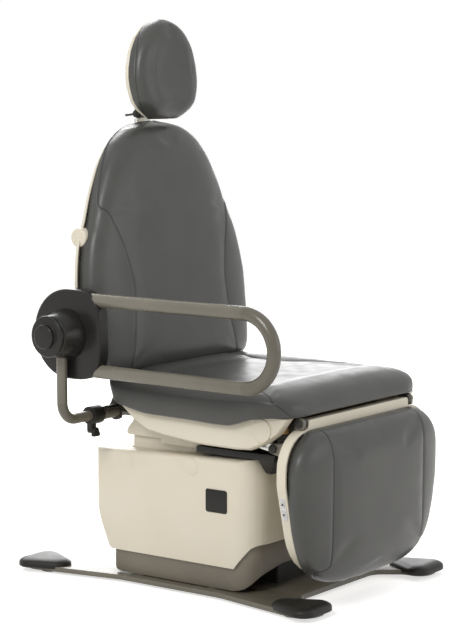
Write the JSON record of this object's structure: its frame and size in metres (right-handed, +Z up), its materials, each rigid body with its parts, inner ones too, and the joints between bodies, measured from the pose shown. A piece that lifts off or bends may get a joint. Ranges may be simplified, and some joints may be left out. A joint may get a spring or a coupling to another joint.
{
  "type": "powered procedure chair",
  "caption": "Powered procedure chair: lift base under a moulded shroud, reclining back, rising leg rest, adjustable headrest and one swing-up arm loop on a round hub.",
  "frame": {"origin": "on the floor under the middle of the base plate, which is also the middle of the four anchor holes", "axes": "+Z up; the sitter faces -Y; the arm loop is on -X; X runs across the chair"},
  "size_m": [0.7732, 0.888, 1.3611],
  "materials": {
    "upholstery": "coated upholstery cloth, satin",
    "beige_plastic": "moulded, light texture",
    "taupe_metal": "satin powder coat",
    "black_plastic": "moulded, fine texture",
    "black_gloss": "semi gloss moulding",
    "black_metal": "black paint",
    "steel": "bright zinc",
    "grey_metal": "grey paint",
    "grey_plastic": "moulded, smooth",
    "rubber": "smooth",
    "plywood": "sanded plywood",
    "taupe_plastic": "moulded, satin"
  },
  "bodies": {
    "base": {"base_plate": "taupe_metal", "corner_pads": "black_plastic", "levelling_glides": "rubber", "plinth_cover": "taupe_plastic", "base_shroud": "beige_plastic", "shroud_caps": "beige_plastic", "badge_plate": "black_plastic", "column_lower": "grey_metal", "column_bolts": "steel", "lift_motor": "black_metal", "control_box": "black_plastic", "power_inlet": "black_plastic"},
    "lift_stage": {"column_middle": "grey_metal", "middle_shroud": "beige_plastic"},
    "seat": {"column_upper": "grey_metal", "upper_shroud": "beige_plastic", "underseat_pan": "black_plastic", "seat_plate": "grey_metal", "seat_side_covers": "beige_plastic", "seat_cover_caps": "beige_plastic", "seat_board": "plywood", "seat_cushion": "upholstery", "front_brackets": "black_metal", "rear_brackets": "black_metal", "hinge_pins": "black_metal", "arm_receiver": "taupe_metal", "receiver_latch": "black_metal", "back_actuator": "black_metal", "legrest_actuator": "black_metal", "arm_collar": "black_plastic"},
    "leg_rest": {"legrest_frame": "beige_plastic", "legrest_cushion": "upholstery", "legrest_lugs": "taupe_metal", "link_bolts": "black_metal", "switch_bezel": "grey_plastic"},
    "leg_link": {"legrest_link": "steel"},
    "leg_rod": {"legrest_rod": "steel"},
    "up_switch": {"up_button": "grey_plastic"},
    "down_switch": {"down_button": "grey_plastic"},
    "back": {"back_shell": "beige_plastic", "back_cushion": "upholstery", "back_frame": "grey_metal", "back_caps": "beige_plastic"},
    "recline_rod": {"back_rod": "steel"},
    "head_bar": {"headrest_bar": "steel"},
    "head_knuckle": {"headrest_knuckle": "black_metal"},
    "head": {"headrest_shell": "beige_plastic", "headrest_cushion": "upholstery"},
    "head_lever": {"headrest_lever": "black_metal"},
    "arm_clamp_lever": {"collar_lever": "black_plastic"},
    "arm": {"arm_post": "taupe_metal", "hub_housing": "black_gloss", "hub_bolt": "steel"},
    "loop": {"hub_pod": "black_gloss", "arm_loop": "taupe_metal"},
    "knob": {"hub_knob": "black_gloss"}
  },
  "joints": [
    {"name": "lift_lower", "type": "slide", "parent": "base", "child": "lift_stage", "axis": [0, 0, 1], "range_m": [0, 0.2]},
    {"name": "lift_upper", "type": "slide", "parent": "lift_stage", "child": "seat", "axis": [0, 0, 1], "range_m": [0, 0.2]},
    {"name": "leg_rest_fold", "type": "hinge", "parent": "seat", "child": "leg_rest", "pos_m": [0, -0.368, 0.44], "axis": [-1, 0, 0], "range_deg": [0, 90]},
    {"name": "leg_drive", "type": "slide", "parent": "seat", "child": "leg_rod", "axis": [0, -1, 0], "range_m": [0, 0.134]},
    {"name": "leg_link_turn", "type": "hinge", "parent": "leg_rest", "child": "leg_link", "pos_m": [0, -0.299, 0.375], "axis": [-1, 0, 0], "range_deg": [-90, 0]},
    {"name": "up_press", "type": "slide", "parent": "leg_rest", "child": "up_switch", "axis": [0.9691, 0, 0.2466], "range_m": [0, 0.0012], "stiffness_N_per_m": 900},
    {"name": "down_press", "type": "slide", "parent": "leg_rest", "child": "down_switch", "axis": [0.9691, 0, 0.2466], "range_m": [0, 0.0012], "stiffness_N_per_m": 900},
    {"name": "back_recline", "type": "hinge", "parent": "seat", "child": "back", "pos_m": [0, 0.176, 0.481], "axis": [-1, 0, 0], "range_deg": [0, 80]},
    {"name": "back_drive", "type": "slide", "parent": "seat", "child": "recline_rod", "axis": [0, -0.9906, -0.1364], "range_m": [0, 0.09669]},
    {"name": "headrest_height", "type": "slide", "parent": "back", "child": "head_bar", "axis": [0, 0.1115, 0.9938], "range_m": [0, 0.12]},
    {"name": "headrest_reach", "type": "hinge", "parent": "head_bar", "child": "head_knuckle", "pos_m": [0, 0.27584, 1.12891], "axis": [-1, 0, 0], "range_deg": [0, 35]},
    {"name": "headrest_tilt", "type": "hinge", "parent": "head_knuckle", "child": "head", "pos_m": [0, 0.25218, 1.20502], "axis": [-1, 0, 0], "range_deg": [0, 35]},
    {"name": "headrest_lock", "type": "hinge", "parent": "head_knuckle", "child": "head_lever", "pos_m": [0, 0.27584, 1.12891], "axis": [1, 0, 0], "range_deg": [-25, 45]},
    {"name": "arm_clamp", "type": "hinge", "parent": "seat", "child": "arm_clamp_lever", "pos_m": [-0.289, 0.202, 0.375], "axis": [0, 1, 0], "range_deg": [-90, 90]},
    {"name": "arm_swing", "type": "hinge", "parent": "seat", "child": "arm", "pos_m": [-0.395, 0.202, 0.411], "axis": [-1, 0, 0], "range_deg": [0, 90]},
    {"name": "loop_lift", "type": "hinge", "parent": "arm", "child": "loop", "pos_m": [-0.395, 0.202, 0.617], "axis": [-0.9994, 0.0349, 0], "range_deg": [0, 95]},
    {"name": "knob_turn", "type": "hinge", "parent": "arm", "child": "knob", "pos_m": [-0.395, 0.202, 0.617], "axis": [-0.9994, 0.0349, 0], "range_deg": [-180, 180]}
  ],
  "couplings": [
    {"joint": "lift_upper", "follows": "lift_lower", "ratio": 1},
    {"joint": "leg_drive", "follows": "leg_rest_fold", "m_per_rad": 0.0853},
    {"joint": "leg_link_turn", "follows": "leg_rest_fold", "ratio": -1},
    {"joint": "back_drive", "follows": "back_recline", "m_per_rad": 0.06924}
  ]
}
